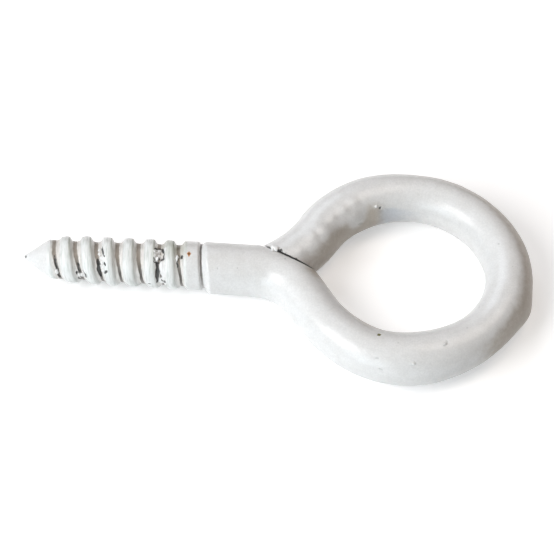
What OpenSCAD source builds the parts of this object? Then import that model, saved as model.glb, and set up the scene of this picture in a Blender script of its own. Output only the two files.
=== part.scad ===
// Screw eye: one length of painted wire, threaded at one end and bent into
// a closed eye at the other.
// It lies flat. +X runs from the tip to the eye, the eye lies in the XY plane
// and +Z is up. The origin is on the shank's axis, where the bend at the neck
// starts.

/* [Wire] */
// Diameter of the wire with its coat of paint
wire_d = 4.3; // [3.6:0.1:5]
// Gap along the seam where the wire's end lies against the neck
seam_gap = 0.15; // [0.1:0.05:0.3]

/* [Eye] */
// Inner diameter of the eye
eye_inner_d = 12.9; // [10:0.1:18]
// How far the eye's centre lies to the side of the shank's axis
eye_offset = 0.55; // [0:0.1:1]
// Angle that the wire turns through at the neck
neck_angle = 54; // [45:1:60]
// Centreline radius of the bend at the neck
neck_bend_r = 4.2; // [3:0.1:5]
// Centreline radius of the reverse bend at the wire's end
end_bend_r = 10.7; // [7:0.5:14]
// Angle at which the wire's end runs onto the shank
end_angle = 30; // [25:1:40]

/* [Shank] */
// Length of the plain shank
shank_l = 4.7; // [3:0.5:20]
// Length of the chamfer at the shank's shoulder
chamfer_l = 0.6; // [0.3:0.1:1]
// Depth of the chamfer at the shank's shoulder
chamfer_depth = 0.2; // [0.1:0.05:0.3]

/* [Thread] */
// Length of the threaded end, from the shoulder to the tip
thread_l = 15.5; // [10:0.5:30]
// Distance from one crest to the next
thread_pitch = 1.82; // [1.4:0.02:2.4]
// How far the crests lie below the surface of the shank
crest_inset = 0.05; // [0.02:0.01:0.15]
// Depth of the groove next to the shoulder
groove_depth = 0.25; // [0.15:0.05:0.5]
// Depth of the groove next to the point
point_groove_depth = 0.6; // [0.3:0.05:0.8]
// Length of the plain band that the last turn runs out into
band_l = 1.1; // [0:0.1:2]
// Length of the plain groove between that band and the shoulder
relief_l = 0.45; // [0.3:0.05:1]

/* [Point] */
// Half angle of the cone at the tip
point_angle = 35; // [25:1:45]
// Radius of the blunt end of the tip
tip_r = 0.15; // [0.05:0.05:0.4]
// Length over which the crests come most of the way up to their full height
rise_l = 1.25; // [0.5:0.25:3]

/* [Hidden] */

$fn = 72;

// A ridge rises over rather more than half of the pitch, with a round top.
ridge_fullness = 0.7;
// Angle round the shank at which the ridge starts, from +Y towards +Z
ridge_start = 64;
// Facets round the thread, and rings of points along one pitch
thread_sides = 28;
rings_per_pitch = thread_sides / 2;
// How far the threaded end runs on inside the shank
thread_root_l = 1;
// Bends run on this far into their neighbours, and are this much thinner
// than a straight, so that no two pieces share a face.
lap = 0.1;
lap_inset = 0.005;

wire_r = wire_d / 2;
eye_r = (eye_inner_d + wire_d) / 2;

// The straight run past the neck bend ends where it touches the eye's circle.
neck_run = (eye_r * cos(neck_angle) - neck_bend_r * (1 - cos(neck_angle)) - eye_offset)
    / sin(neck_angle);
// Angle round the eye, from +X, where the reverse bend starts. It is set so
// that the bend ends on the shank's axis, at end_angle to it.
eye_end = 180 - asin((end_bend_r * cos(end_angle) - eye_offset) / (eye_r + end_bend_r));
eye_sweep = eye_end + 90 + neck_angle;
end_sweep = eye_end - 90 - end_angle;

crest_r = wire_r - crest_inset;
point_groove_r = crest_r - point_groove_depth;
relief_r = crest_r - groove_depth;
// The point is a plain cone up to where it is as wide as the groove.
cone_l = (point_groove_r - tip_r) / tan(point_angle);
ring_step = thread_pitch / rings_per_pitch;
ring_count = ceil((thread_l + thread_root_l) / ring_step);

// Radii of the groove and the crest at a distance t from the tip
function groove_at(t) = point_groove_r + (relief_r - point_groove_r) * t / thread_l;
function crest_at(t) = crest_r - point_groove_depth * exp(-max(0, t - cone_l) / rise_l);

// Height of the right-hand ridge, from 0 to 1, at the angle a round the shank
function ridge(t, a) =
    pow((1 + cos(360 * t / thread_pitch + ridge_start - a)) / 2, ridge_fullness);

function threaded_r(t, a) =
    min(tip_r + t * tan(point_angle),
        groove_at(t) + (crest_at(t) - groove_at(t)) * ridge(t, a));

function thread_r(t, a) =
    t > thread_l - relief_l ? relief_r
    : t > thread_l - relief_l - band_l ? crest_r
    : threaded_r(t, a);

function on_ring(t, a) = let (r = thread_r(t, a)) [t, r * cos(a), r * sin(a)];

// A straight length of wire along +X, from the origin
module straight(l, r) {
    rotate([0, 90, 0]) cylinder(h = l, r = r);
}

// A bend that leaves the origin along +X and turns left, towards +Y
module left_bend(bend_r, angle, r) {
    lap_angle = lap / bend_r * 180 / PI;
    translate([0, bend_r, 0]) rotate([0, 0, -90 - lap_angle])
        rotate_extrude(angle = angle + 2 * lap_angle) translate([bend_r, 0]) circle(r = r);
}

// The same bend, turning right
module right_bend(bend_r, angle, r) {
    mirror([0, 1, 0]) left_bend(bend_r, angle, r);
}

// Children are placed where a left bend, or a right one, ends.
module past_left_bend(bend_r, angle) {
    translate([0, bend_r, 0]) rotate([0, 0, angle]) translate([0, -bend_r, 0]) children();
}

module past_right_bend(bend_r, angle) {
    translate([0, -bend_r, 0]) rotate([0, 0, -angle]) translate([0, bend_r, 0]) children();
}

// The neck, from the shank to the eye
module neck(r) {
    right_bend(neck_bend_r, neck_angle, r - lap_inset);
    past_right_bend(neck_bend_r, neck_angle) straight(neck_run, r);
}

module plain_shank(r) {
    translate([-shank_l, 0, 0]) straight(shank_l, r);
}

// The shank with a chamfered shoulder at the thread
module shank() {
    body_l = shank_l - chamfer_l;
    translate([-body_l, 0, 0]) straight(body_l, wire_r);
    translate([-shank_l, 0, 0]) rotate([0, 90, 0])
        cylinder(h = chamfer_l, r1 = wire_r - chamfer_depth, r2 = wire_r);
}

// The wire's end bends back onto the shank and is cut to lie along the neck.
module wire_end() {
    difference() {
        right_bend(end_bend_r, end_sweep, wire_r - 2 * lap_inset);
        // The neck, seen from where the eye's arc ends
        translate([0, eye_r, 0]) rotate([0, 0, -eye_sweep]) translate([0, -eye_r, 0])
            translate([-neck_run, 0, 0])
            translate([0, -neck_bend_r, 0]) rotate([0, 0, neck_angle]) translate([0, neck_bend_r, 0]) {
                neck(wire_r + seam_gap);
                plain_shank(wire_r + seam_gap);
            }
    }
}

module eye() {
    past_right_bend(neck_bend_r, neck_angle) translate([neck_run, 0, 0]) {
        left_bend(eye_r, eye_sweep, wire_r - lap_inset);
        past_left_bend(eye_r, eye_sweep) wire_end();
    }
}

// Right-hand wood thread with a gimlet point: rings of points from the tip
module thread() {
    points = concat(
        [[0, 0, 0]],
        [for (i = [0 : ring_count], j = [0 : thread_sides - 1])
            on_ring(i * ring_step, 360 * j / thread_sides)],
        [[ring_count * ring_step, 0, 0]]);
    last = len(points) - 1;
    function at(i, j) = 1 + i * thread_sides + j % thread_sides;
    tip = [for (j = [0 : thread_sides - 1]) [0, at(0, j), at(0, j + 1)]];
    sides = [for (i = [0 : ring_count - 1], j = [0 : thread_sides - 1], k = [0, 1])
        k == 0
            ? [at(i, j), at(i + 1, j + 1), at(i, j + 1)]
            : [at(i, j), at(i + 1, j), at(i + 1, j + 1)]];
    root = [for (j = [0 : thread_sides - 1]) [last, at(ring_count, j + 1), at(ring_count, j)]];
    translate([-shank_l - thread_l, 0, 0])
        polyhedron(points = points, faces = concat(tip, sides, root), convexity = 10);
}

module screw_eye() color("whitesmoke") {
    thread();
    shank();
    neck(wire_r);
    eye();
}

screw_eye();
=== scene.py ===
"""A screw eye in white paint: one bent wire with a wood thread, lying on a pale floor.

Lengths are written in millimetres and turned into metres as they are used.
+X runs from the tip to the eye, the eye lies in the XY plane, and +Z is up.
"""

import math

import bmesh
import bpy
import numpy as np
from mathutils import Matrix, Vector
from mathutils.bvhtree import BVHTree


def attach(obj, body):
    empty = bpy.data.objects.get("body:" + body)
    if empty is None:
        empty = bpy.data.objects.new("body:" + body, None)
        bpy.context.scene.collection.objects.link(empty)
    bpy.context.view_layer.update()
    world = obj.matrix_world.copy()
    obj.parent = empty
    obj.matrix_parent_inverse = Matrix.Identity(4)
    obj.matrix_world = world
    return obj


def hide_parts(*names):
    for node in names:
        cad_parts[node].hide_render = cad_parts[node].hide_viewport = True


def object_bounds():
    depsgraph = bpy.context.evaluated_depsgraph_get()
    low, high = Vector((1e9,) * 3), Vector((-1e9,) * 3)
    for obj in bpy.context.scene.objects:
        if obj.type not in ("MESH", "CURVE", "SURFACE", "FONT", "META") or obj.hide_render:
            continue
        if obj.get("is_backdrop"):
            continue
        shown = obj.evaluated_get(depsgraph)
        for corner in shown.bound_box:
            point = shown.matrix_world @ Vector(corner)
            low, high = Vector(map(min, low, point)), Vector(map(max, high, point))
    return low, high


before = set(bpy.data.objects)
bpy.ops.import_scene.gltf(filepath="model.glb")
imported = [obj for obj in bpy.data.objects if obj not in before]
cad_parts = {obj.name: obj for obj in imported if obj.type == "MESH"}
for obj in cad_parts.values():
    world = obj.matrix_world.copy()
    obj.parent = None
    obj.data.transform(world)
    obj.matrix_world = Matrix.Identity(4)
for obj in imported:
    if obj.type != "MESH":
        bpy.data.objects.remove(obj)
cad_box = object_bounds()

MM = 0.001

# ---------------------------------- sizes

SHANK_L = 4.7
THREAD_L = 15.5
TIP_X = -SHANK_L - THREAD_L

NECK_ANGLE = math.radians(54)
NECK_BEND_R = 4.2
EYE_R = 8.6
EYE_OFFSET = 0.55
END_BEND_R = 10.7
END_ANGLE = math.radians(30)

NECK_RUN = (
    EYE_R * math.cos(NECK_ANGLE) - NECK_BEND_R * (1 - math.cos(NECK_ANGLE)) - EYE_OFFSET
) / math.sin(NECK_ANGLE)
EYE_X = (NECK_BEND_R + EYE_R) * math.sin(NECK_ANGLE) + NECK_RUN * math.cos(NECK_ANGLE)
EYE_START = -math.pi / 2 - NECK_ANGLE
EYE_END = math.pi - math.asin(
    (END_BEND_R * math.cos(END_ANGLE) - EYE_OFFSET) / (EYE_R + END_BEND_R))
END_X = EYE_X + (EYE_R + END_BEND_R) * math.cos(EYE_END)
END_Y = EYE_OFFSET + (EYE_R + END_BEND_R) * math.sin(EYE_END)

# Radius of the painted wire along the shank, and the mean round the eye
SHANK_R = 2.2
EYE_WIRE_R = 2.09
# How the wire's radius and the eye's own radius wander round the eye, as
# (waves in a turn, cosine part, sine part)
WIRE_WAVES = ((1, -0.002, 0.011), (2, -0.067, -0.028), (3, 0.026, 0.037))
EYE_WAVES = ((2, -0.016, -0.019), (3, 0.030, 0.042), (4, 0.034, -0.026))
# Angle over which the eye's waves die out at each end of its arc
WAVES_FADE = 0.35

# How far past the shoulder's foot the thread's tools still shape the wire
SHOULDER_L = 1.2
# How far the tip lies to the side, and how far its middle stands out before its first ring
TIP_LIFT = 0.0
NOSE_L = 0.04

# The thread's lengths, and below them its plain numbers and angles. The node tree that
# shapes the thread has an input for each.
THREAD_LENGTHS = {
    "Tip x": TIP_X,
    "Thread length": THREAD_L,
    "Pitch": 1.822,
    "Crest radius": 2.09,
    "Groove depth at the tip": 0.58,
    "Groove depth at the shoulder": 0.38,
    "Thread unevenness": 0.09,
    "Paint waviness": 0.05,

    # The turns lean less on the near side, from the wobble's start on. So do the first
    # ones, fully up to the tip wobble's length. The last ones are closer together.
    "Wobble start": 5.5,
    "Full wobble": 9.5,
    "Tip wobble length": 2.2,
    "Last turns' length": 4.6,

    # The point is a cone with a blunt tip. The crests lie deep up to the point's length,
    # and they rise from there, most of the way within twice the rise.
    "Tip radius": 0.13,
    "Point depth": 0.5,
    "Point length": 2.0,
    "Rise": 1.2,
    "Point softness": 0.15,

    # The last turn runs out into a plain band, which starts and settles over a length.
    # Then come a narrow groove with soft edges, the relief, and the shoulder.
    "Band": 1.15,
    "Band's start": 0.45,
    "Band's settling": 0.2,
    "Relief": 0.25,
    "Relief radius": 1.86,
    "Relief softness": 0.08,
    "Shoulder": SHOULDER_L,
    "Shoulder softness": 0.2,

    # The threaded length isn't quite in line with the shank, and its shoulder leans.
    "Lift at the tip": TIP_LIFT,
    "Lift at the shoulder": 0.18,
    "Lean": 0.2,
    "Shoulder shift": 0.12,

    # The grooves' painted shade and the thread's other marks come in over a length past the point
    # and end
    #     past the shoulder's foot. The relief's slot, painted dark as shade, lies before the
    #     shoulder, and is full and gone at these distances.
    "Thread marks' start": 0.6,
    "Thread marks' end": 0.1,
    "Slot's place": 0.1,
    "Slot full": 0.03,
    "Slot gone": 0.15,
}
THREAD_NUMBERS = {
    # Where the ridge starts at the tip, from +Y towards +Z
    "Start angle": math.radians(87),
    # Share of the groove that thick paint fills, and the side that it gathers on
    "Paint fill": 0.31,
    "Paint side": math.radians(200),
    # A crest is where the turn's cosine is over the cut, within the softness, and this
    # share of its height is domed rather than cut.
    "Crest cut": -0.1,
    "Crest softness": 0.5,
    "Dome share": 0.4,
    # How far the turns wobble and the side where they do so most, and the amount of sway
    # at which the first ones stay in place
    "Turn wobble": 0.62,
    "Wobble side": math.radians(218),
    "Tip wobble": 0.4,
    "Middle of the sway": 0.6,
    "Last turns' extra": 1.15,
    "Point slope": 0.71,
    "Chamfer slope": 1.0,
    "Lean side": math.radians(38),
    # How fine the unevenness of the thread and of the paint is
    "Unevenness scale": 0.42 / MM,
    "Waviness scale": 0.5 / MM,
    # Angles round the thread are counted from this far under it.
    "Hidden side": math.radians(52),
}
THREAD_SIZES = {name: length * MM for name, length in THREAD_LENGTHS.items()} | THREAD_NUMBERS

# Gap between the wire's end and the neck that it lies on
SEAM_GAP = 0.15
# The flat that the end was pressed to, and how softly the neck gives way to it
CUT_PLACE = np.array((2.69, 0.57, 1.30))
CUT_NORMAL = np.array((-0.374, -0.787, -0.491))
PRESS_SOFT = 0.05
PRESS_MOST = 0.8
# Rings of the shank that the end may meet and may press. The neck's rings count too,
# and so does the first one in EYE_PART of the eye's.
MEET_RINGS, PRESS_RINGS = 60, 40
EYE_PART = 5
# Rings that close the end, and halvings in the search for where it meets the neck
END_RINGS = 12
HALVINGS = 22

# Points round the wire, and the distance between its rings along each stretch
SIDES = 128
THREAD_STEP = 0.075
NECK_STEP = 0.12
EYE_STEP = 0.25


# ---------------------------------- the wire's path

def waves(table, angle):
    """Sum of a table of waves at an angle round the eye."""
    return sum(c * np.cos(n * angle) + s * np.sin(n * angle) for n, c, s in table)


def steps(start, end, step):
    """Evenly spaced values from start up to, but not including, end."""
    return np.linspace(start, end, max(2, round(abs(end - start) / step)), endpoint=False)


def shank_path():
    """Centres and radii of the rings along the threaded end and the shank."""
    x = np.concatenate([steps(TIP_X, -SHANK_L + SHOULDER_L, THREAD_STEP),
                        steps(-SHANK_L + SHOULDER_L, 0, NECK_STEP)])
    return np.stack([x, 0 * x], 1), np.full(len(x), SHANK_R)


def neck_path():
    """The bend at the neck and the straight run up to the eye."""
    turn = steps(0, NECK_ANGLE, NECK_STEP / NECK_BEND_R)
    bend = NECK_BEND_R * np.stack([np.sin(turn), np.cos(turn) - 1], 1)
    heading = np.array([math.cos(NECK_ANGLE), -math.sin(NECK_ANGLE)])
    run = steps(0, NECK_RUN, NECK_STEP)
    start = NECK_BEND_R * np.array([math.sin(NECK_ANGLE), math.cos(NECK_ANGLE) - 1])
    straight = start + run[:, None] * heading
    return np.concatenate([bend, straight])


def eye_path():
    """The eye's own arc, which isn't quite round."""
    angle = steps(EYE_START, EYE_END, EYE_STEP / EYE_R)
    fade = np.clip(np.minimum(angle - EYE_START, EYE_END - angle) / WAVES_FADE, 0, 1)
    r = EYE_R + waves(EYE_WAVES, angle) * fade
    centres = np.stack([EYE_X + r * np.cos(angle), EYE_OFFSET + r * np.sin(angle)], 1)
    return centres, EYE_WIRE_R + waves(WIRE_WAVES, angle)


def end_path():
    """The reverse bend that brings the wire's end back onto the shank."""
    last = -math.pi / 2 + END_ANGLE
    angle = steps(EYE_END - math.pi, last, NECK_STEP / END_BEND_R)
    return np.stack([END_X + END_BEND_R * np.cos(angle), END_Y + END_BEND_R * np.sin(angle)], 1)


def wire_path():
    """Centres (x, y) and radii of every ring, and where each stretch starts."""
    shank, shank_r = shank_path()
    neck = neck_path()
    eye, eye_r = eye_path()
    end = end_path()
    neck_r = np.linspace(SHANK_R, eye_r[0], len(neck))
    end_r = np.full(len(end), eye_r[-1])
    centres = np.concatenate([shank, neck, eye, end])
    radii = np.concatenate([shank_r, neck_r, eye_r, end_r])
    counts = np.cumsum([len(shank), len(neck), len(eye), len(end)])
    return centres, radii, counts


# ---------------------------------- node helpers

class Nodes:
    """Short ways to add and join nodes in one tree."""

    def __init__(self, tree):
        self.tree = tree

    def add(self, kind, inputs=None, **settings):
        """A new node with its settings made and its inputs fed."""
        node = self.tree.nodes.new(kind)
        for key, value in settings.items():
            setattr(node, key, value)
        for key, value in (inputs or {}).items():
            self.feed(node.inputs[key], value)
        return node

    def feed(self, socket, value):
        """Joins a socket or node to an input, or sets the input to a plain value."""
        if isinstance(value, bpy.types.NodeSocket):
            self.tree.links.new(value, socket)
        elif isinstance(value, bpy.types.Node):
            self.tree.links.new(value.outputs[0], socket)
        else:
            socket.default_value = value

    def math(self, operation, *values):
        node = self.add("ShaderNodeMath", operation=operation)
        for socket, value in zip(node.inputs, values):
            self.feed(socket, value)
        return node.outputs[0]

    def ramp(self, value, low, high, to_low=0.0, to_high=1.0, kind="LINEAR"):
        """The value taken from the range low to high into the range to_low to to_high."""
        return self.add("ShaderNodeMapRange", {
            "Value": value, "From Min": low, "From Max": high,
            "To Min": to_low, "To Max": to_high}, interpolation_type=kind).outputs[0]


def tree_input(tree, name, kind, value=None):
    """Adds a named input to a node tree."""
    socket = tree.interface.new_socket(name, in_out="INPUT", socket_type=kind)
    if value is not None:
        socket.default_value = value
    return socket


# ---------------------------------- the drawn wire

def wire_tree():
    """Sweeps a round section along the path and cuts the thread into its first stretch."""
    tree = bpy.data.node_groups.new("Threaded wire", "GeometryNodeTree")
    tree_input(tree, "Path", "NodeSocketGeometry")
    tree.interface.new_socket("Wire", in_out="OUTPUT", socket_type="NodeSocketGeometry")
    tree_input(tree, "Sides", "NodeSocketInt", SIDES)
    for name, value in THREAD_SIZES.items():
        tree_input(tree, name, "NodeSocketFloat", value)
    tree_input(tree, "Paint", "NodeSocketMaterial")
    n = Nodes(tree)
    size = n.add("NodeGroupInput").outputs
    m, ramp = n.math, n.ramp

    profile = n.add("GeometryNodeCurvePrimitiveCircle",
                    {"Resolution": size["Sides"], "Radius": 1.0})
    ring_r = n.add("GeometryNodeInputRadius")
    sweep = n.add("GeometryNodeCurveToMesh",
                  {"Curve": size["Path"], "Profile Curve": profile.outputs[0], "Scale": ring_r})

    def noise(scale, detail):
        """Soft unevenness between -1 and 1."""
        cloud = n.add("ShaderNodeTexNoise", {"Scale": scale, "Detail": detail})
        return m("MULTIPLY", m("SUBTRACT", cloud.outputs[0], 0.5), 2.0)

    # Each point is placed round the thread's own axis.
    place = n.add("GeometryNodeInputPosition")
    xyz = n.add("ShaderNodeSeparateXYZ", {0: place}).outputs
    from_tip = m("SUBTRACT", xyz["X"], size["Tip x"])
    length = size["Thread length"]
    lift = m("MULTIPLY_ADD", m("DIVIDE", from_tip, length),
             m("SUBTRACT", size["Lift at the shoulder"], size["Lift at the tip"]),
             size["Lift at the tip"])
    side = m("SUBTRACT", xyz["Y"], lift)
    angle = m("ARCTAN2", xyz["Z"], side)
    section_r = m("SQRT", m("ADD", m("MULTIPLY", side, side), m("MULTIPLY", xyz["Z"], xyz["Z"])))

    # Crest and groove radii at this distance from the tip
    uneven = m("MULTIPLY", noise(size["Unevenness scale"], 1.0), size["Thread unevenness"])
    top = m("ADD", size["Crest radius"], uneven)
    past_point = m("MAXIMUM", m("SUBTRACT", from_tip, size["Point length"]), 0.0)
    fall = m("EXPONENT", m("MULTIPLY", m("DIVIDE", past_point, size["Rise"]), -1.0))
    crest = m("SUBTRACT", top, m("MULTIPLY", size["Point depth"], fall))
    depth = ramp(from_tip, 0.0, length,
                 size["Groove depth at the tip"], size["Groove depth at the shoulder"])
    gathered = m("COSINE", m("SUBTRACT", angle, size["Paint side"]))
    fill = m("MULTIPLY", m("MULTIPLY_ADD", gathered, 0.5, 0.5), size["Paint fill"])
    groove = m("SUBTRACT", top, m("MULTIPLY", depth, m("SUBTRACT", 1.0, fill)))
    groove = m("MINIMUM", groove, crest)

    # A right-hand ridge: its crest moves one pitch along for each turn.
    turns = m("DIVIDE", from_tip, size["Pitch"])
    phase = m("SUBTRACT", m("ADD", m("MULTIPLY", turns, math.tau), size["Start angle"]), angle)
    sway = m("ADD", m("COSINE", m("SUBTRACT", angle, size["Wobble side"])), 1.0)
    wobble = ramp(from_tip, size["Wobble start"], size["Full wobble"],
                  0.0, size["Turn wobble"], "SMOOTHSTEP")
    tip_wobble = ramp(from_tip, size["Tip wobble length"], size["Wobble start"],
                      size["Tip wobble"], 0.0, "SMOOTHSTEP")
    phase = m("MULTIPLY_ADD", sway, wobble, phase)
    phase = m("MULTIPLY_ADD", m("SUBTRACT", sway, size["Middle of the sway"]), tip_wobble, phase)
    closer = ramp(from_tip, m("SUBTRACT", length, size["Last turns' length"]),
                  m("SUBTRACT", length, size["Band"]), 0.0, size["Last turns' extra"], "SMOOTHSTEP")
    phase = m("ADD", phase, closer)
    high = m("COSINE", phase)
    sharp = ramp(high, m("SUBTRACT", size["Crest cut"], size["Crest softness"]),
                 m("ADD", size["Crest cut"], size["Crest softness"]), 0.0, 1.0, "SMOOTHSTEP")
    domed = m("SUBTRACT", m("MULTIPLY_ADD", high, 0.5, 0.5), sharp)
    ridge = m("MULTIPLY_ADD", domed, size["Dome share"], sharp)
    threaded = m("MULTIPLY_ADD", m("SUBTRACT", crest, groove), ridge, groove)
    cone = m("MULTIPLY_ADD", from_tip, size["Point slope"], size["Tip radius"])
    pointed = m("SMOOTH_MIN", threaded, cone, size["Point softness"])

    # The band, the relief and the shoulder
    leaning = m("MULTIPLY_ADD", m("COSINE", m("SUBTRACT", angle, size["Lean side"])),
                size["Lean"], m("ADD", from_tip, size["Shoulder shift"]))
    relief_start = m("SUBTRACT", length, size["Relief"])
    band_start = m("SUBTRACT", relief_start, size["Band"])
    band_settled = m("ADD", band_start, size["Band's settling"])
    banded = ramp(leaning, m("SUBTRACT", band_start, size["Band's start"]), band_settled,
                  pointed, top, "SMOOTHSTEP")
    relieved = ramp(leaning, m("SUBTRACT", relief_start, size["Relief softness"]),
                    m("ADD", relief_start, size["Relief softness"]), banded,
                    size["Relief radius"], "SMOOTHSTEP")
    climb = m("MULTIPLY", m("MAXIMUM", m("SUBTRACT", leaning, length), 0.0), size["Chamfer slope"])
    shouldered = m("SMOOTH_MIN", m("ADD", relieved, climb), section_r, size["Shoulder softness"])

    near = m("LESS_THAN", from_tip, m("ADD", length, size["Shoulder"]))
    cut = n.add("ShaderNodeCombineXYZ", {
        "X": xyz["X"],
        "Y": m("MULTIPLY_ADD", m("COSINE", angle), shouldered, lift),
        "Z": m("MULTIPLY", m("SINE", angle), shouldered)})
    threaded_wire = n.add("GeometryNodeSetPosition", {
        "Geometry": sweep, "Selection": near, "Position": cut})

    # Marks for the paint: how deep in a groove, for its painted shade, the relief's slot, painted
    # dark as
    #     shade, and the place along the thread in turns and round it, which only breaks on the
    #     underside
    on_thread = m("LESS_THAN", leaning, m("ADD", length, size["Thread marks' end"]))
    turned = ramp(leaning, band_start, band_settled, 1.0, 0.0)
    started = ramp(from_tip, size["Point length"],
                   m("ADD", size["Point length"], size["Thread marks' start"]))
    hollow = m("MULTIPLY", m("MULTIPLY", m("SUBTRACT", 1.0, ridge), turned), started)
    from_slot = m("ABSOLUTE", m("SUBTRACT", leaning, m("SUBTRACT", length, size["Slot's place"])))
    slot = ramp(from_slot, size["Slot full"], size["Slot gone"], 1.0, 0.0)
    from_hidden = m("ADD", angle, size["Hidden side"])
    around = m("FLOORED_MODULO", from_hidden, math.tau)
    unbroken = m("ADD", phase, m("SUBTRACT", from_hidden, around))
    on_turn = n.add("ShaderNodeCombineXYZ", {"X": m("DIVIDE", unbroken, math.tau), "Y": around})

    geometry = threaded_wire
    for name, value, kind in (
            ("groove", m("MULTIPLY", hollow, on_thread), "FLOAT"),
            ("slot", m("MULTIPLY", slot, on_thread), "FLOAT"),
            ("ridged", m("MULTIPLY", m("MULTIPLY", turned, started), on_thread), "FLOAT"),
            ("on_turn", on_turn, "FLOAT_VECTOR")):
        geometry = n.add("GeometryNodeStoreNamedAttribute", {
            "Geometry": geometry, "Name": name, "Value": value}, domain="POINT", data_type=kind)

    # Hand-dipped paint is never quite even.
    thick = m("MULTIPLY", noise(size["Waviness scale"], 2.0), size["Paint waviness"])
    along = n.add("ShaderNodeVectorMath", {0: n.add("GeometryNodeInputNormal"), "Scale": thick},
                  operation="SCALE")
    painted = n.add("GeometryNodeSetPosition", {"Geometry": geometry, "Offset": along})
    real = n.add("GeometryNodeRealizeInstances", {"Geometry": painted})
    coated = n.add("GeometryNodeSetMaterial", {"Geometry": real, "Material": size["Paint"]})
    n.add("NodeGroupOutput", {0: coated})
    return tree


def placed(name, data):
    """A new object in the scene."""
    thing = bpy.data.objects.new(name, data)
    bpy.context.collection.objects.link(thing)
    return thing


def socket_id(tree, name):
    """The identifier of a tree's input."""
    return next(s.identifier for s in tree.interface.items_tree
                if s.name == name and s.in_out == "INPUT")


def path_curve(name, centres, radii):
    """A poly curve in the XY plane through the ring centres."""
    data = bpy.data.curves.new(name, "CURVE")
    data.dimensions = "3D"
    data.twist_mode = "Z_UP"
    line = data.splines.new("POLY")
    line.points.add(len(centres) - 1)
    flat = np.zeros((len(centres), 4))
    flat[:, :2] = centres * MM
    flat[:, 3] = 1
    line.points.foreach_set("co", flat.ravel())
    line.points.foreach_set("radius", np.asarray(radii) * MM)
    return placed(name, data)


def swept_wire(material, centres, radii):
    """The plain mesh that the node tree makes, one ring of points for each centre."""
    source = path_curve("wire_path", centres, radii)
    tree = wire_tree()
    modifier = source.modifiers.new("Threaded wire", "NODES")
    modifier.node_group = tree
    modifier[socket_id(tree, "Sides")] = SIDES
    for name, value in THREAD_SIZES.items():
        modifier[socket_id(tree, name)] = value
    modifier[socket_id(tree, "Paint")] = material
    graph = bpy.context.evaluated_depsgraph_get()
    mesh = bpy.data.meshes.new_from_object(source.evaluated_get(graph))
    source.modifiers.remove(modifier)
    bpy.data.objects.remove(source)
    return mesh


# ---------------------------------- finishing the mesh

def points_of(mesh):
    """The mesh's points, in millimetres."""
    flat = np.empty(len(mesh.vertices) * 3)
    mesh.vertices.foreach_get("co", flat)
    return flat.reshape(-1, 3) / MM


def neck_depth(points, neck, neck_r):
    """Distance outside the shank and neck, negative inside, for points in mm."""
    away = points[:, None, :2] - neck[None]
    reach = np.sqrt((away ** 2).sum(2) + points[:, None, 2] ** 2)
    return (reach - neck_r[None]).min(1)


def past_cut(points):
    """Distance past the flat that the wire's end was pressed to."""
    return (points - CUT_PLACE) @ CUT_NORMAL


def on_bend(reach, angle, z):
    """Points at these distances and angles from the middle of the last bend."""
    return np.stack([END_X + reach * np.cos(angle), END_Y + reach * np.sin(angle), z + 0 * angle],
                    -1)


def end_angles(points, neck, neck_r):
    """How far round the last bend each line of points goes before it meets the neck's flat."""
    reach = np.hypot(points[:, 0] - END_X, points[:, 1] - END_Y)
    clear = np.full(len(points), EYE_END - math.pi)
    deep = np.full(len(points), -math.pi / 2 + END_ANGLE)
    for _ in range(HALVINGS):
        middle = (deep + clear) / 2
        spots = on_bend(reach, middle, points[:, 2])
        hit = (neck_depth(spots, neck, neck_r) < SEAM_GAP) & (past_cut(spots) > -SEAM_GAP / 2)
        deep, clear = np.where(hit, middle, deep), np.where(hit, clear, middle)
    return reach, clear


def press_neck(rings):
    """Flattens the neck where the wire's end was pressed against it."""
    points = rings.reshape(-1, 3)
    high = SEAM_GAP / 2 - past_cut(points)
    push = PRESS_SOFT * np.logaddexp(0, high / PRESS_SOFT)
    return (points + np.clip(push, 0, PRESS_MOST)[:, None] * CUT_NORMAL).reshape(rings.shape)


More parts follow.
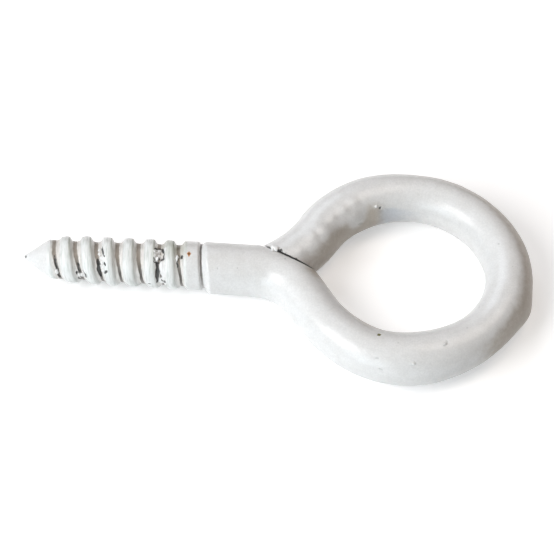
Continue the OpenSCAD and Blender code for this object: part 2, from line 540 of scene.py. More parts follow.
def build_screw_eye(material):
    """The whole painted wire as one closed mesh."""
    centres, radii, counts = wire_path()
    mesh = swept_wire(material, centres, radii)
    shank_n, neck_n, eye_n, ring_n = counts
    rings = points_of(mesh).reshape(ring_n, SIDES, 3)

    # Each line of points along the last bend is spread evenly up to its own end,
    # and the end itself is filled with smaller and smaller rings.
    stop = neck_n + (eye_n - neck_n) // EYE_PART
    neck, neck_r = centres[shank_n - MEET_RINGS:stop], radii[shank_n - MEET_RINGS:stop]
    middle, last = np.append(centres[-1], 0), rings[-1]
    seats = []
    for share in np.linspace(1, 0, END_RINGS + 1):
        disc = middle + (last - middle) * share
        reach, angle = end_angles(disc, neck, neck_r)
        seats.append((reach, angle, disc[:, 2]))
    tail = rings[eye_n:]
    reach = np.hypot(tail[..., 0] - END_X, tail[..., 1] - END_Y)
    share = np.linspace(0, 1, len(tail))[:, None]
    first = EYE_END - math.pi
    angle = first + (seats[0][1] - first)[None] * share
    rings[eye_n:] = on_bend(reach, angle, tail[..., 2])
    pressed = slice(shank_n - PRESS_RINGS, stop)
    rings[pressed] = press_neck(rings[pressed])
    mesh.vertices.foreach_set("co", rings.reshape(-1) * MM)

    body = bmesh.new()
    body.from_mesh(mesh)
    body.verts.ensure_lookup_table()
    ring = [body.verts[(ring_n - 1) * SIDES + j] for j in range(SIDES)]
    for seat in seats[1:-1]:
        inner = [body.verts.new(p * MM) for p in on_bend(*seat)]
        for j in range(SIDES):
            k = (j + 1) % SIDES
            body.faces.new((ring[j], ring[k], inner[k], inner[j]))
        ring = inner
    hub = body.verts.new(on_bend(*seats[-1])[0] * MM)
    for j in range(SIDES):
        body.faces.new((ring[j], ring[(j + 1) % SIDES], hub))
    nose = body.verts.new(Vector(((TIP_X - NOSE_L) * MM, TIP_LIFT * MM, 0)))
    body.verts.ensure_lookup_table()
    for j in range(SIDES):
        body.faces.new((body.verts[(j + 1) % SIDES], body.verts[j], nose))
    bmesh.ops.recalc_face_normals(body, faces=body.faces)
    for face in body.faces:
        face.smooth = True
    add_detail(body, mesh)
    body.free()
    return placed("screw_eye_wire", mesh)


# ---------------------------------- bulges, beads, cracks and dents

# Place, reach and height of the larger forms that the bending and the paint left
FORMS = (
    ((0.9, -2.35, -0.6), 1.5, 0.19),
    ((22.5, -2.5, -0.4), 1.5, 0.34),
    ((17.6, -4.0, 0.9), 2.6, -0.15),
    ((18.98, 0.8, 0.1), 2.5, -0.10),
    ((10.6, -6.5, 1.3), 2.0, -0.11),
    ((14.0, -10.0, -1.2), 3.0, 0.09),
    ((12.3, 10.9, 1.3), 2.8, -0.10),
    ((4.28, 2.65, 2.04), 0.40, 0.09),
    ((5.00, 3.31, 1.90), 0.55, 0.09),
    ((5.80, 4.73, 1.95), 0.38, 0.06),
    ((6.75, 5.70, 1.93), 0.42, 0.11),
    ((7.56, 6.61, 2.00), 0.42, 0.10),
    ((5.60, 3.30, 1.50), 0.60, 0.10),
    ((6.10, 4.10, 1.70), 0.50, -0.02),
    ((7.75, 5.50, 1.15), 0.75, 0.14),
    ((6.90, 4.65, 1.20), 0.35, 0.06),
    ((8.60, 5.90, 0.90), 0.45, -0.06),
    ((3.30, 0.95, 1.87), 0.45, 0.05),
)

# Kind, half width and the line that each mark follows
MARKS = (
    ("crack", 0.08, ((-17.34, -0.81, 1.40), (-17.22, -1.31, 0.95), (-17.17, -1.49, 0.65))),
    ("crack", 0.14, ((-17.08, -1.64, 0.02), (-16.91, -1.56, -0.34))),
    ("crack", 0.09, ((-15.35, -1.17, 1.15), (-15.22, -1.56, 0.51))),
    ("crack", 0.11, ((-15.43, -1.68, 0.57), (-15.42, -1.81, 0.19))),
    ("crack", 0.09, ((-14.94, -1.62, 0.69), (-14.62, -1.87, 0.56), (-14.57, -1.93, -0.05))),
    ("crack", 0.09, ((-15.33, -1.79, -0.31), (-15.11, -1.53, -0.78))),
    ("crack", 0.12, ((-13.39, 0.14, 1.86), (-13.29, -0.28, 1.81), (-13.17, -0.76, 1.86))),
    ("crack", 0.15, ((-13.68, -0.94, 1.46), (-13.58, -1.34, 1.08), (-13.54, -1.56, 0.77),
                     (-13.35, -1.68, 0.16))),
    ("crack", 0.12, ((-13.05, -1.20, 1.55), (-13.02, -1.48, 1.38))),
    ("crack", 0.12, ((-13.05, -1.80, 0.72), (-12.81, -1.74, 1.02))),
    ("crack", 0.07, ((-13.12, -0.77, 1.79), (-13.08, -0.87, 1.76))),
    ("crack", 0.09, ((-10.21, 1.46, 1.02), (-10.06, 1.53, 1.07))),
    ("crack", 0.08, ((-8.25, -1.97, 0.22), (-7.89, -1.82, 0.02))),
    ("crack", 0.07, ((-9.34, -1.86, -0.11), (-9.12, -1.96, -0.23))),
    ("crack", 0.08, ((-8.94, 0.18, 2.06), (-8.65, 0.38, 1.89), (-8.36, 0.39, 1.74))),
    ("crack", 0.16, ((-8.34, 0.38, 1.74), (-8.16, -0.08, 1.79))),
    ("crack", 0.08, ((-8.15, -0.08, 1.79), (-8.15, -0.63, 1.66), (-8.38, -0.93, 1.66))),
    ("crack", 0.09, ((-8.70, -1.09, 1.74), (-8.45, -1.05, 1.64))),
    ("crack", 0.07, ((-8.87, -0.71, 1.96), (-8.70, -1.07, 1.75))),
    ("crack", 0.09, ((-8.47, -0.58, 1.82), (-8.46, -0.67, 1.79))),
    ("crack", 0.17, ((-8.68, -0.85, 1.50), (-8.62, -1.34, 1.02), (-8.59, -1.62, 0.50),
                     (-8.57, -1.79, -0.15))),
    ("crack", 0.17, ((-6.62, -0.28, 1.76), (-6.50, -0.50, 1.76))),
    ("crack", 0.08, ((-6.94, -0.72, 1.50), (-6.90, -1.10, 1.20))),
    ("crack", 0.09, ((0.50, 1.20, 1.82), (0.89, 1.08, 1.85))),
    ("crack", 0.18, ((1.56, 0.77, 2.12), (1.74, 0.67, 2.12))),
    ("crack", 0.19, ((9.84, 6.86, 1.23), (9.85, 6.84, 1.19))),
    ("crack", 0.09, ((1.68, 0.65, 2.07), (2.75, 0.26, 1.76), (3.77, 0.22, 1.03))),
    ("crack", 0.07, ((3.77, 0.22, 1.03), (4.25, 0.36, 0.38), (4.5, 0.6, -0.2))),
    ("bead", 0.17, ((-17.18, -1.61, 0.36),)),
    ("bead", 0.19, ((-15.25, -1.69, 0.21),)),
    ("bead", 0.22, ((-14.93, -1.71, 0.15),)),
    ("bead", 0.16, ((-13.58, -0.06, 1.71),)),
    ("bead", 0.14, ((-13.56, -0.43, 1.64),)),
    ("bead", 0.19, ((-13.31, -0.88, 1.58),)),
    ("bead", 0.17, ((-13.31, -1.12, 1.37),)),
    ("bead", 0.19, ((-13.25, -1.39, 1.10),)),
    ("bead", 0.16, ((-13.19, -1.57, 0.79),)),
    ("bead", 0.16, ((-8.07, -1.92, -0.11),)),
    ("blot", 0.30, ((-8.72, -0.10, 2.00), (-8.49, 0.12, 1.75), (-8.35, 0.02, 1.66),
                    (-8.62, -0.14, 1.68), (-8.66, -0.35, 1.75),
                    (-8.42, -0.35, 1.60), (-8.55, -0.58, 1.55))),
    ("bead", 0.19, ((-8.66, -0.60, 1.62),)),
    ("blot", 0.27, ((-8.27, -0.76, 1.42), (-8.22, -1.20, 1.14), (-8.17, -1.52, 0.74),
                    (-8.13, -1.70, 0.12), (-8.10, -1.68, -0.30))),
    ("bead", 0.30, ((-7.08, -0.42, 1.72), (-6.88, -0.42, 1.70))),
    ("bead", 0.27, ((1.00, 0.90, 2.07), (1.28, 0.80, 2.10))),
    ("bead", 0.13, ((9.52, 6.80, 1.33),)),
    ("bead", 0.13, ((15.71, -7.94, 2.08),)),
    ("bead", 0.14, ((13.27, -9.67, 1.51),)),
    ("dent", 0.15, ((15.78, -7.52, 2.13), (15.87, -7.75, 2.10))),
    ("dent", 0.09, ((10.16, -9.46, 1.53), (10.44, -9.43, 1.61))),
    ("dent", 0.10, ((10.48, -9.96, 0.91), (10.81, -10.04, 0.86))),
    ("dent", 0.10, ((12.00, -8.18, 2.18),)),
    # This one runs along the lower edge of a lump, and its darkening is the lump's painted shade.
    ("dent", 0.15, ((8.10, 5.35, 0.50), (8.50, 5.65, 0.35))),
    ("dent", 0.12, ((17.49, -6.10, 2.08),)),
    ("dent", 0.12, ((20.01, 2.97, 1.97),)),
    ("dent", 0.09, ((21.22, 0.59, 2.04),)),
    ("dent", 0.10, ((18.39, -3.47, 1.57),)),
    ("dent", 0.10, ((-3.49, -1.33, 1.75),)),
    ("dent", 0.09, ((-1.79, -1.24, 1.81),)),
    ("dent", 0.14, ((1.97, -0.00, 2.11), (2.19, -0.13, 2.10))),
    ("olive", 0.19, ((10.21, -7.41, 2.12), (10.41, -7.35, 2.10))),
    ("rust", 0.21, ((-6.13, -0.16, 2.00), (-5.86, -0.20, 2.08))),
    ("bare", 0.16, ((-20.08, -0.10, 0.18),)),
)
# Height of each kind of mark over its half width
RELIEF = {"crack": -0.7, "bead": 0.95, "blot": 0.38, "dent": -0.25, "olive": -0.3, "rust": 0.1,
          "bare": 0.0}
# How unevenly wide each kind is, and how far a mark strays from its line
UNEVEN = {"crack": 0.3, "bead": 0.25, "blot": 0.35, "dent": 0.3, "olive": 0.3, "rust": 0.3,
          "bare": 0.2}
STRAY = 0.35
# Lengths of those two waves, and how far round its line a mark is worked out. These and
# STRAY are in half widths of the mark.
UNEVEN_WAVE, STRAY_WAVE, MARK_REACH = 3.5, 5, 4
# A mark's least and greatest width over its own, and how much a line narrows at its ends
THINNEST, WIDEST = 0.5, 1.6
END_NARROWING = 0.6
# The mesh is split finer round a mark, out to this share of its half width and this much.
FINE_SHARE, FINE_MORE = 1.4, 0.1
# No bead stands higher than this.
HIGHEST = 2.25


def vertex_normals(mesh):
    """The direction that the surface faces at each of the mesh's points."""
    flat = np.empty(len(mesh.vertices) * 3)
    mesh.vertex_normals.foreach_get("vector", flat)
    return flat.reshape(-1, 3)


def line_distance(points, line):
    """Distance from each point to a line of straight pieces, and how far along that is."""
    line = np.asarray(line, float)
    spans = np.linalg.norm(np.diff(line, axis=0), axis=1)
    total = max(spans.sum(), 1e-9)
    best = np.linalg.norm(points - line[0], axis=1)
    along = np.zeros(len(points))
    done = 0
    for start, end, span in zip(line[:-1], line[1:], spans):
        way = end - start
        share = np.clip((points - start) @ way / max(way @ way, 1e-9), 0, 1)
        away = np.linalg.norm(points - start - share[:, None] * way, axis=1)
        along = np.where(away < best, (done + share * span) / total, along)
        best = np.minimum(best, away)
        done += span
    return best, along


def rounded(line):
    """The same line with its corners cut twice."""
    line = np.asarray(line, float)
    for _ in range(2 if len(line) > 2 else 0):
        start, end = line[:-1], line[1:]
        inner = np.stack([0.75 * start + 0.25 * end, 0.25 * start + 0.75 * end], 1).reshape(-1, 3)
        line = np.concatenate([line[:1], inner[1:-1], line[-1:]])
    return line


def ripple(points, length, seed):
    """Smooth unevenness, about this length across and mostly between -1 and 1."""
    chance = np.random.default_rng(seed)
    ways = chance.normal(size=(6, 3))
    ways *= math.tau / length / np.linalg.norm(ways, axis=1)[:, None]
    return np.sin(points @ ways.T + chance.uniform(0, math.tau, 6)).sum(1) / 2.5


def snapped(surface, line):
    """The line's points moved onto the nearest places on the surface."""
    return [np.array(surface.find_nearest(Vector(p) * MM)[0]) / MM for p in line]


def refine(body, lines):
    """Splits the faces round each mark, so that it can be shaped."""
    spots = np.array([v.co for v in body.verts]) / MM
    near = np.zeros(len(spots), bool)
    for width, line in lines:
        near |= line_distance(spots, line)[0] < FINE_SHARE * width + FINE_MORE
    edges = [e for e in body.edges if near[e.verts[0].index] and near[e.verts[1].index]]
    bmesh.ops.subdivide_edges(body, edges=edges, cuts=2, use_grid_fill=True)
    wide = [f for f in body.faces if len(f.verts) > 4]
    bmesh.ops.triangulate(body, faces=wide)


# Brown painted shade round the eye, set by the way the surface faces: the angle round it,
# where the shade starts and is full (as how far the surface faces outward, or inward), and how much
# of it there is
OUTER_PAINTED_SHADE = np.array((
    (-60, 0.60, 1.20, 0.0), (-42, 0.50, 1.10, 1.0), (-30, 0.35, 1.05, 1.0), (-12, 0.15, 1.0, 1.0),
    (18, 0.10, 0.90, 1.0), (36, 0.0, 0.90, 1.0), (54, 0.0, 0.90, 1.0), (66, 0.0, 0.90, 0.75),
    (90, 0.20, 1.0, 0.55), (115, 0.30, 1.0, 0.0)))
INNER_PAINTED_SHADE = np.array((
    (99, 0.50, 1.05, 0.0), (107, 0.45, 1.0, 0.1), (113, 0.45, 1.0, 0.65), (120, 0.50, 1.0, 1.2),
    (135, 0.65, 1.0, 1.0), (150, 0.55, 1.0, 1.0), (160, 0.50, 1.0, 1.0), (180, 0.30, 0.95, 1.0),
    (190, 0.15, 0.70, 1.0), (203, 0.30, 0.80, 0.0), (214, 0.30, 0.90, 0.0), (222, 0.40, 0.90, 0.5),
    (246, 0.30, 0.85, 0.9), (258, 0.30, 0.90, 0.5), (270, 0.30, 0.90, 0.45),
    (285, 0.30, 0.90, 0.15), (300, 0.30, 0.90, 0.0)))
# Cool grey painted shade on the inside of the eye's top, in the same way
COOL_PAINTED_SHADE = np.array((
    (70, 0.88, 1.0, 0.0), (84, 0.88, 1.0, 0.3), (94, 0.88, 0.98, 0.65), (102, 0.86, 0.96, 0.95),
    (110, 0.84, 0.94, 0.95), (117, 0.84, 0.94, 0.0)))
# Where the brown painted shade starts, past the neck, and a spot that is kept free of it
SHADE_START_X = 1.5
UNSHADED_SPOT, UNSHADED_SPOT_R = (7.7, 5.75, 1.25), 1.2


def painted_shade_side(turn, facing, table):
    """How much painted shade a table gives at each angle round the eye and each way of facing."""
    start, full, amount = (np.interp(turn, table[:, 0], table[:, k]) for k in (1, 2, 3))
    share = np.clip((facing - start) / (full - start), 0, 1)
    return amount * share * share * (3 - 2 * share)


def painted_shade_amounts(points, normals):
    """The brown painted shade on the eye's outer right and inner left side, and the cool grey
    painted shade on the inside of its top, both set by the way the surface faces."""
    turn = np.degrees(np.arctan2(points[:, 1] - EYE_OFFSET, points[:, 0] - EYE_X))
    radial = np.stack([np.cos(np.radians(turn)), np.sin(np.radians(turn))], 1)
    outward = (normals[:, :2] * radial).sum(1)
    brown = painted_shade_side(turn, outward, OUTER_PAINTED_SHADE) + painted_shade_side(turn % 360, -outward, INNER_PAINTED_SHADE)
    from_spot = np.linalg.norm(points - UNSHADED_SPOT, axis=1) / UNSHADED_SPOT_R
    brown = brown * (points[:, 0] > SHADE_START_X) * (1 - np.exp(-from_spot ** 4))
    return brown, painted_shade_side(turn % 360, -outward, COOL_PAINTED_SHADE)


def add_detail(body, mesh):
    """Bulges the whole surface, then shapes the small marks on a finer mesh."""
    body.to_mesh(mesh)
    points, normals = points_of(mesh), vertex_normals(mesh)
    push = np.zeros(len(points))
    for place, reach, height in FORMS:
        push += height * np.exp(-(np.linalg.norm(points - place, axis=1) / reach) ** 2)
    points = points + normals * push[:, None]
    for vert, point in zip(body.verts, points):
        vert.co = point * MM
    surface = BVHTree.FromBMesh(body)
    lines = [(kind, width, rounded(snapped(surface, line))) for kind, width, line in MARKS]
    refine(body, [(width, line) for _, width, line in lines])
    body.to_mesh(mesh)

    points, normals = points_of(mesh), vertex_normals(mesh)
    shift = np.zeros_like(points)
    marked = {kind: np.zeros(len(points)) for kind in RELIEF}
    for kind, width, line in lines:
        centre, half = line.mean(0), np.ptp(line, axis=0).max() / 2 + MARK_REACH * width
        near = np.nonzero(np.abs(points - centre).max(1) < half)[0]
        spots = points[near]
        stray = np.stack([ripple(spots, STRAY_WAVE * width, k) for k in range(3)], 1)
        away, along = line_distance(spots + STRAY * width * stray, line)
        uneven = 1 + UNEVEN[kind] * ripple(spots, UNEVEN_WAVE * width, 3)
        if len(line) > 1:
            uneven = uneven * (1 - END_NARROWING * (2 * along - 1) ** 4)
        away = away / (width * np.clip(uneven, THINNEST, WIDEST))
        marked[kind][near] = np.maximum(marked[kind][near], np.clip(1 - away / 2, 0, 1))
        inside = np.clip(1 - away ** 2, 0, 1)
        form = np.sqrt(inside) if kind == "bead" else inside
        shift[near] += normals[near] * (RELIEF[kind] * width * form)[:, None]
    # The brown and the cool painted shade round the eye are carried as two of these values too.
    marked["painted_shade"], marked["painted_cool_shade"] = painted_shade_amounts(points, normals)
    points += shift
    points[:, 2] = np.minimum(points[:, 2], HIGHEST)
    mesh.vertices.foreach_set("co", (points * MM).ravel())
    for name, values in marked.items():
        layer = mesh.attributes.new(name, "FLOAT", "POINT")
        layer.data.foreach_set("value", values)
    mesh.update()


# ---------------------------------- materials

# Fresh paint, and the tones that its grain, specks and patches bring in
PAINT, GRAIN_TONE = (0.855, 0.855, 0.845, 1), (0.785, 0.785, 0.78, 1)
SPECK_TONE, PATCH_TONE = (0.955, 0.955, 0.955, 1), (0.93, 0.925, 0.91, 1)
GRAIN_SCALE, SPECK_SCALE, PATCH_SCALE = 7500.0, 3300.0, 1100.0
PATCH_SHARE = 0.5
# Painted shade round the eye, brown and cool grey, and on the thread painted shade, painted light,
# dark bands and dirt
BROWN_SHADE_TONE, COOL_SHADE_TONE = (0.66, 0.60, 0.53, 1), (0.77, 0.80, 0.845, 1)
PAINTED_SHADE_SCALE = 2600.0
GROOVE_SHADE_TONE, LAST_TURN_DIRT = (0.96, 0.92, 0.89, 1), (0.76, 0.77, 0.72, 1)
CREST_LIGHT_TONE, CREST_LINE = (0.91, 0.94, 0.92, 1), (0.66, 0.67, 0.63, 1)
FOOT_BROWN, FOOT_BLACK = (0.43, 0.39, 0.35, 1), (0.11, 0.10, 0.09, 1)
SLOT_SHADE_TONE = (0.13, 0.11, 0.10, 1)
# Streaks along the thread: their tone, how many lie across a turn, and how often they
# change on the way round
STREAK_TONE, STREAKS_ACROSS, STREAK_CHANGES = (0.79, 0.81, 0.79, 1), 14.0, 1.6
# Places across a turn, as shares of the pitch from its crest: the middle of the crest's painted
# light, the dull
# # line beside it, and the middle of the dark band at its foot on top and how far that moves
# # down below, with half widths
CREST_PLACE = 0.07
LINE_PLACE, LINE_HALF_W = 0.17, 0.035
FOOT_PLACE, FOOT_SHIFT = 0.445, 0.11
FOOT_HALF_W, FOOT_THINNING = 0.095, 0.02
# Marks in the paint
BLOT_TONE, DENT_SHADE_TONE = (0.82, 0.82, 0.81, 1), (0.35, 0.35, 0.34, 1)
BEAD_TONE, BEAD_SHADOW_TONE = (0.84, 0.84, 0.83, 1), (0.30, 0.29, 0.28, 1)
OLIVE_SPOT = (0.17, 0.16, 0.05, 1)
RUST, RUST_CORE = (0.55, 0.22, 0.05, 1), (0.035, 0.012, 0.006, 1)
BARE_STEEL, CRACK_TONE = (0.22, 0.22, 0.21, 1), (0.03, 0.03, 0.028, 1)

FLOOR_TONE, FLOOR_GLOW = (0.85, 0.85, 0.85, 1), 0.4


def empty_tree(owner):
    """The node tree of a material or world, with nothing in it."""
    owner.use_nodes = True
    owner.node_tree.nodes.clear()
    return owner.node_tree


def ragged_mask():
    """A mask that follows a soft value but breaks up at its edge."""
    tree = bpy.data.node_groups.new("Ragged mask", "ShaderNodeTree")
    for name, value in (("Amount", 0.0), ("Threshold", 0.5), ("Softness", 0.1),
                        ("Raggedness", 0.2), ("Scale", 4000.0)):
        tree_input(tree, name, "NodeSocketFloat", value)
    tree.interface.new_socket("Mask", in_out="OUTPUT", socket_type="NodeSocketFloat")
    n = Nodes(tree)
    put = n.add("NodeGroupInput").outputs
    place = n.add("ShaderNodeTexCoord").outputs["Object"]
    cloud = n.add("ShaderNodeTexNoise", {"Vector": place, "Scale": put["Scale"], "Detail": 3.0})
    wander = n.math("MULTIPLY", n.math("SUBTRACT", cloud.outputs[0], 0.5), put["Raggedness"])
    mask = n.ramp(n.math("ADD", put["Amount"], wander),
                  n.math("SUBTRACT", put["Threshold"], put["Softness"]),
                  n.math("ADD", put["Threshold"], put["Softness"]), kind="SMOOTHSTEP")
    n.add("NodeGroupOutput", {0: mask})
    return tree


class PaintNodes(Nodes):
    """The node helpers, with the steps that a coat of paint is built up in."""

    def __init__(self, tree):
        super().__init__(tree)
        self.place = self.add("ShaderNodeTexCoord").outputs["Object"]
        self.ragged = ragged_mask()

    def cloud(self, scale, detail, vector=None, roughness=0.5):
        return self.add("ShaderNodeTexNoise", {
            "Vector": self.place if vector is None else vector, "Scale": scale,
            "Detail": detail, "Roughness": roughness}).outputs[0]

    def value_of(self, name, output="Fac"):
        """A value that the mesh carries at each point."""
        return self.add("ShaderNodeAttribute", attribute_name=name,
                        attribute_type="GEOMETRY").outputs[output]

    def mask(self, amount, threshold, softness, raggedness, scale=4000.0):
        return self.add("ShaderNodeGroup", {
            "Amount": amount, "Threshold": threshold, "Softness": softness,
            "Raggedness": raggedness, "Scale": scale}, node_tree=self.ragged).outputs[0]

    def mark(self, name, threshold, softness, raggedness):
        """Where the mesh carries one kind of mark."""
        return self.mask(self.value_of(name), threshold, softness, raggedness)

    def cover(self, under, over, amount, blend="MIX"):
        """One colour laid over another."""
        node = self.add("ShaderNodeMix", data_type="RGBA", blend_type=blend)
        self.feed(node.inputs["Factor"], amount)
        self.feed(node.inputs[6], under)
        self.feed(node.inputs[7], over)
        return node.outputs[2]

    def stain(self, under, tone, amount):
        """A colour darkened by a tone."""
        return self.cover(under, tone, amount, "MULTIPLY")


def fresh_paint(p):
    """White paint, a little mottled."""
    grain = p.ramp(p.cloud(GRAIN_SCALE, 2.0), 0.3, 0.7)
    specks = p.ramp(p.cloud(SPECK_SCALE, 2.0), 0.3, 0.7)
    patches = p.ramp(p.cloud(PATCH_SCALE, 3.0), 0.35, 0.65)
    colour = p.cover(PAINT, GRAIN_TONE, grain)
    colour = p.stain(colour, SPECK_TONE, specks)
    return p.stain(colour, PATCH_TONE, p.math("MULTIPLY", patches, PATCH_SHARE))


def thread_shade_and_marks(p, colour, groove_shade):
    """Painted shade and light, streaks, dirt and dark bands that follow the turns of the thread."""
    m, ramp = p.math, p.ramp
    # Place across the turns, and angle round them from the hidden side
    turn = p.add("ShaderNodeSeparateXYZ", {0: p.value_of("on_turn", "Vector")}).outputs
    across, around = turn["X"], turn["Y"]
    ridged = p.value_of("ridged")
    # Painted shade darkens the grooves.
    colour = p.stain(colour, GROOVE_SHADE_TONE, groove_shade)

    # Crests get painted light, most of all on the upper side, and streaks run round with them.
    from_crest = m("PINGPONG", m("SUBTRACT", across, CREST_PLACE), 0.5)
    crest_light = m("MULTIPLY", ramp(from_crest, 0.14, 0.34, 1.0, 0.0), ridged)
    crest_light = m("MULTIPLY", crest_light, ramp(around, 1.7, 2.6, 0.3, 0.75))
    colour = p.cover(colour, CREST_LIGHT_TONE, crest_light)
    stretched = p.add("ShaderNodeCombineXYZ", {
        "X": m("MULTIPLY", across, STREAKS_ACROSS), "Y": m("MULTIPLY", around, STREAK_CHANGES)})
    streaks = ramp(p.cloud(1.0, 3.0, stretched, 0.6), 0.45, 0.65)
    colour = p.stain(colour, STREAK_TONE, m("MULTIPLY", streaks, ridged))

    # A thin dull line lies along each crest, and a dark band lies at the foot of its far side:
    #     wide and brown on top, thin and black lower down.
    past_crest = m("FRACT", across)

    def band(middle, half_width, scale):
        away = m("DIVIDE", m("ABSOLUTE", m("SUBTRACT", past_crest, middle)), half_width)
        return p.mask(m("SUBTRACT", 1.5, away), 0.5, 0.25, 0.7, scale)

    top_side = ramp(around, 2.5, 3.2, 1.0, 0.0)
    line = m("MULTIPLY", band(LINE_PLACE, LINE_HALF_W, 2500.0), top_side)
    colour = p.stain(colour, CREST_LINE, m("MULTIPLY", line, ridged))
    lower = ramp(around, 2.9, 3.7)
    foot = band(m("MULTIPLY_ADD", lower, FOOT_SHIFT, FOOT_PLACE),
                m("MULTIPLY_ADD", lower, -FOOT_THINNING, FOOT_HALF_W), 2200.0)
    fade = m("MULTIPLY", ramp(around, 1.3, 1.7), ramp(around, 3.9, 4.7, 1.0, 0.7))
    foot_tone = p.cover(FOOT_BROWN, FOOT_BLACK, lower)
    colour = p.stain(colour, foot_tone, m("MULTIPLY", m("MULTIPLY", foot, ridged), fade))

    # The slot before the shoulder is painted dark as shade, and the last turn's upper side is
    # grubby.
    slot = p.mask(p.value_of("slot"), 0.5, 0.2, 0.7, 2500.0)
    colour = p.cover(colour, SLOT_SHADE_TONE, m("MULTIPLY", slot, ramp(around, 3.6, 4.4, 0.9, 0.45)))
    last_turn = m("MULTIPLY", ramp(across, 6.4, 6.7), ramp(around, 2.3, 3.0, 1.0, 0.0))
    return p.stain(colour, LAST_TURN_DIRT, m("MULTIPLY", last_turn, ridged))


def marked_paint(p, colour):
    """Blots and beads of thick paint with painted shadow round the beads, and places where it is
    dented (with painted shade), cracked or gone.
    """
    m = p.math
    colour = p.cover(colour, BLOT_TONE, p.mark("blot", 0.5, 0.1, 0.2))
    # A painted shadow rings each bead at its foot.
    from_edge = m("ABSOLUTE", m("SUBTRACT", p.value_of("bead"), 0.4))
    edge = m("SUBTRACT", 0.5, m("MULTIPLY", from_edge, 5.0))
    colour = p.stain(colour, BEAD_SHADOW_TONE, p.mask(edge, 0.45, 0.12, 0.9, 1800.0))
    colour = p.cover(colour, BEAD_TONE, p.mark("bead", 0.5, 0.1, 0.1))
    # Dents are darkened as painted shade.
    colour = p.cover(colour, DENT_SHADE_TONE, m("MULTIPLY", p.mark("dent", 0.6, 0.2, 0.15), 0.35))
    colour = p.cover(colour, OLIVE_SPOT, p.mark("olive", 0.6, 0.15, 0.2))
    colour = p.cover(colour, RUST, p.mark("rust", 0.42, 0.2, 0.2))
    colour = p.cover(colour, RUST_CORE, p.mark("rust", 0.68, 0.12, 0.2))
    colour = p.cover(colour, BARE_STEEL, p.mark("bare", 0.55, 0.15, 0.2))
    return p.cover(colour, CRACK_TONE, m("MULTIPLY", p.mark("crack", 0.52, 0.13, 0.15), 0.92))


def white_paint():
    """Satin white paint with its painted shade and light, dirt, streaks and marks."""
    material = bpy.data.materials.new("white_paint")
    p = PaintNodes(empty_tree(material))
    m = p.math
    # Painted shade: brown on the eye's outer right and inner left, cool grey inside its top, and in
    # the thread's grooves
    painted_shade = p.mask(p.value_of("painted_shade"), 0.5, 0.5, 0.45, PAINTED_SHADE_SCALE)
    cool_shade = p.mask(p.value_of("painted_cool_shade"), 0.5, 0.5, 0.45, PAINTED_SHADE_SCALE)
    groove_shade = p.mask(p.value_of("groove"), 0.62, 0.35, 0.25, 2500.0)
    colour = p.stain(fresh_paint(p), BROWN_SHADE_TONE, painted_shade)
    colour = p.stain(colour, COOL_SHADE_TONE, cool_shade)
    colour = marked_paint(p, thread_shade_and_marks(p, colour, groove_shade))

    # Where shade is painted, round the eye and in the grooves, the paint is also duller. It is
    # bumpy at two scales.
    rough = p.ramp(p.cloud(1500.0, 3.0), 0.3, 0.7, 0.36, 0.46)
    rough = m("MAXIMUM", rough, m("MULTIPLY", m("MAXIMUM", groove_shade, painted_shade), 0.5))
    bumps = m("MULTIPLY_ADD", p.cloud(1000.0, 2.0), 2.0, p.cloud(3200.0, 4.0, roughness=0.6))
    bump = p.add("ShaderNodeBump", {"Height": bumps, "Strength": 0.3, "Distance": 0.02 * MM})
    paint = p.add("ShaderNodeBsdfPrincipled", {
        "Base Color": colour, "Roughness": rough, "Normal": bump, "IOR": 1.5,
        "Coat Weight": 0.35, "Coat Roughness": 0.15})
    p.add("ShaderNodeOutputMaterial", {"Surface": paint})
    return material


def pale_floor():
    """A matt floor that the camera and reflections see a little brighter."""
    material = bpy.data.materials.new("pale_floor")
    n = Nodes(empty_tree(material))
    matt = n.add("ShaderNodeBsdfDiffuse", {"Color": FLOOR_TONE})
    rays = n.add("ShaderNodeLightPath").outputs
    seen = n.math("MAXIMUM", rays["Is Camera Ray"], rays["Is Glossy Ray"])
    glow = n.add("ShaderNodeEmission", {"Strength": n.math("MULTIPLY", seen, FLOOR_GLOW)})
    both = n.add("ShaderNodeAddShader", {0: matt, 1: glow})
    n.add("ShaderNodeOutputMaterial", {"Surface": both})
    return material


# ---------------------------------- stage

FLOOR_SIZE = 1.2

# The camera's bearing and height angle, its distance, and how far right of and above the
# eye's middle its view is centred
CAMERA_BEARING, CAMERA_HEIGHT = math.radians(4.44), math.radians(52.08)
CAMERA_DISTANCE = 160.7
VIEW_MIDDLE = (EYE_X - 0.013, 0.04, 0)
VIEW_RIGHT, VIEW_UP = -10.90, 0.23
# Focal length in pixels, for a picture this many pixels wide
FOCAL_PIXELS, PICTURE_W = 1898.3, 554
SENSOR_W = 36
# Nearest and farthest that the camera sees, in metres
NEAR, FAR = 0.01, 10

# Each lamp's direction round from +X, height angle, watts and colour
LAMPS = (
    ("key", 210, 40, 1.72, (1.00, 0.99, 0.99)),
    ("low_key", 240, 15, 0.96, (0.89, 1.01, 1.08)),
    ("top", 30, 65, 0.68, (1.12, 0.99, 0.89)),
    ("back", 120, 40, 0.62, (0.91, 1.00, 1.11)),
)
# The lamps' distance, their width and the place that they shine on, in metres
LAMP_REACH, LAMP_SIZE = 0.5, 0.32
LAMP_TARGET = (0.002, 0, 0)
AMBIENT = 0.02


def direction(bearing, height):
    """The way that a bearing round from +X and a height angle point."""
    return Vector((math.cos(bearing) * math.cos(height), math.sin(bearing) * math.cos(height),
                   math.sin(height)))


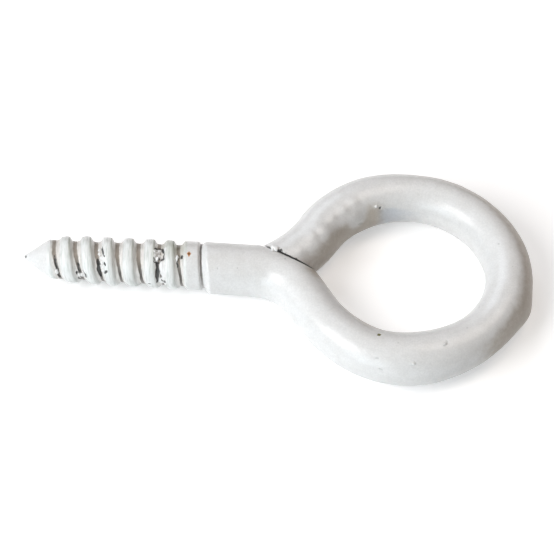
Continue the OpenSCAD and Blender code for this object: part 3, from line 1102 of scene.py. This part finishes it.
def make_floor(height):
    bpy.ops.mesh.primitive_plane_add(size=FLOOR_SIZE, location=(0, 0, height))
    floor = bpy.context.object
    floor.name = "floor"
    floor.data.materials.append(pale_floor())
    floor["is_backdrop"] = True


def make_camera():
    """The view is from the front, turned a little, and well above the floor."""
    back = Vector((math.sin(CAMERA_BEARING) * math.cos(CAMERA_HEIGHT),
                   -math.cos(CAMERA_BEARING) * math.cos(CAMERA_HEIGHT), math.sin(CAMERA_HEIGHT)))
    right = Vector((math.cos(CAMERA_BEARING), math.sin(CAMERA_BEARING), 0))
    up = back.cross(right)
    data = bpy.data.cameras.new("camera")
    data.sensor_width = SENSOR_W
    data.lens = SENSOR_W * FOCAL_PIXELS / PICTURE_W
    data.clip_start, data.clip_end = NEAR, FAR
    camera = placed("camera", data)
    turn = Matrix((right, up, back)).transposed().to_4x4()
    turn.translation = (Vector(VIEW_MIDDLE) + back * CAMERA_DISTANCE
                        + right * VIEW_RIGHT + up * VIEW_UP) * MM
    camera.matrix_world = turn
    bpy.context.scene.camera = camera


def make_lamps():
    target = Vector(LAMP_TARGET)
    for name, bearing, height, watts, colour in LAMPS:
        data = bpy.data.lights.new(name, "AREA")
        data.shape = "DISK"
        data.size = LAMP_SIZE
        data.energy = watts
        data.color = colour
        lamp = placed(name, data)
        lamp.location = target + direction(math.radians(bearing), math.radians(height)) * LAMP_REACH
        lamp.rotation_mode = "QUATERNION"
        lamp.rotation_quaternion = (target - lamp.location).to_track_quat("-Z", "Y")


def make_surroundings():
    """A faint even light, and white wherever the camera looks past the floor."""
    world = bpy.data.worlds.new("studio")
    bpy.context.scene.world = world
    n = Nodes(empty_tree(world))
    rays = n.add("ShaderNodeLightPath").outputs
    seen = n.math("MAXIMUM", rays["Is Camera Ray"], rays["Is Transmission Ray"])
    faint = n.add("ShaderNodeBackground", {"Color": (1, 1, 1, 1), "Strength": AMBIENT})
    white = n.add("ShaderNodeBackground", {"Color": (1, 1, 1, 1), "Strength": 1.0})
    mix = n.add("ShaderNodeMixShader", {0: seen, 1: faint, 2: white})
    n.add("ShaderNodeOutputWorld", {"Surface": mix})


# ---------------------------------- everything in its place

bpy.context.scene.view_settings.view_transform = "Standard"
make_camera()
screw_eye = build_screw_eye(white_paint())
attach(screw_eye, "root")
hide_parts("screw_eye")
make_floor(min(cad_box[0].z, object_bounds()[0].z))
make_lamps()
make_surroundings()
